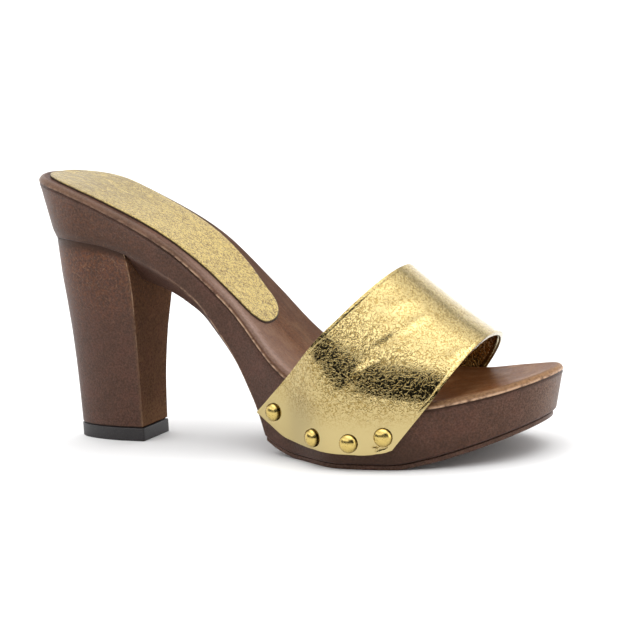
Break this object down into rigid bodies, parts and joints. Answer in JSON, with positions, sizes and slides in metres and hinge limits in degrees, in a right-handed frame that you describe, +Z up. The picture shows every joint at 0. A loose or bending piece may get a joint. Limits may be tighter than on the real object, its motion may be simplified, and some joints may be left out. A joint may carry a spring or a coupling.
{
  "type": "heeled mule",
  "caption": "Open-toe, open-back heeled mule for the right foot: moulded wood-look platform sole, tall block heel, wide metallic leather strap with dome studs, and a heel pad.",
  "frame": {"origin": "middle of the shoe's box, on the floor it stands on", "axes": "+X towards the toe, +Y towards the inner side of the foot, +Z up"},
  "size_m": [0.2268, 0.0966, 0.1174],
  "materials": {
    "sole": "satin brown moulded polyurethane with a wood look",
    "heel": "satin brown moulded polyurethane with a wood look",
    "top_piece": "matt black heel-tip rubber",
    "outsole": "matt brown sheet rubber",
    "upper": "crinkled gold metallic leather",
    "sock": "grained gold metallic leather",
    "stud": "polished brass dome heads"
  },
  "bodies": {
    "root": {"sole": "sole", "heel": "heel", "top_piece": "top_piece", "outsole": "outsole", "upper": "upper", "sock": "sock", "stud_outer_1": "stud", "stud_outer_2": "stud", "stud_outer_3": "stud", "stud_outer_4": "stud", "stud_inner_1": "stud", "stud_inner_2": "stud", "stud_inner_3": "stud", "stud_inner_4": "stud"}
  },
  "joints": []
}
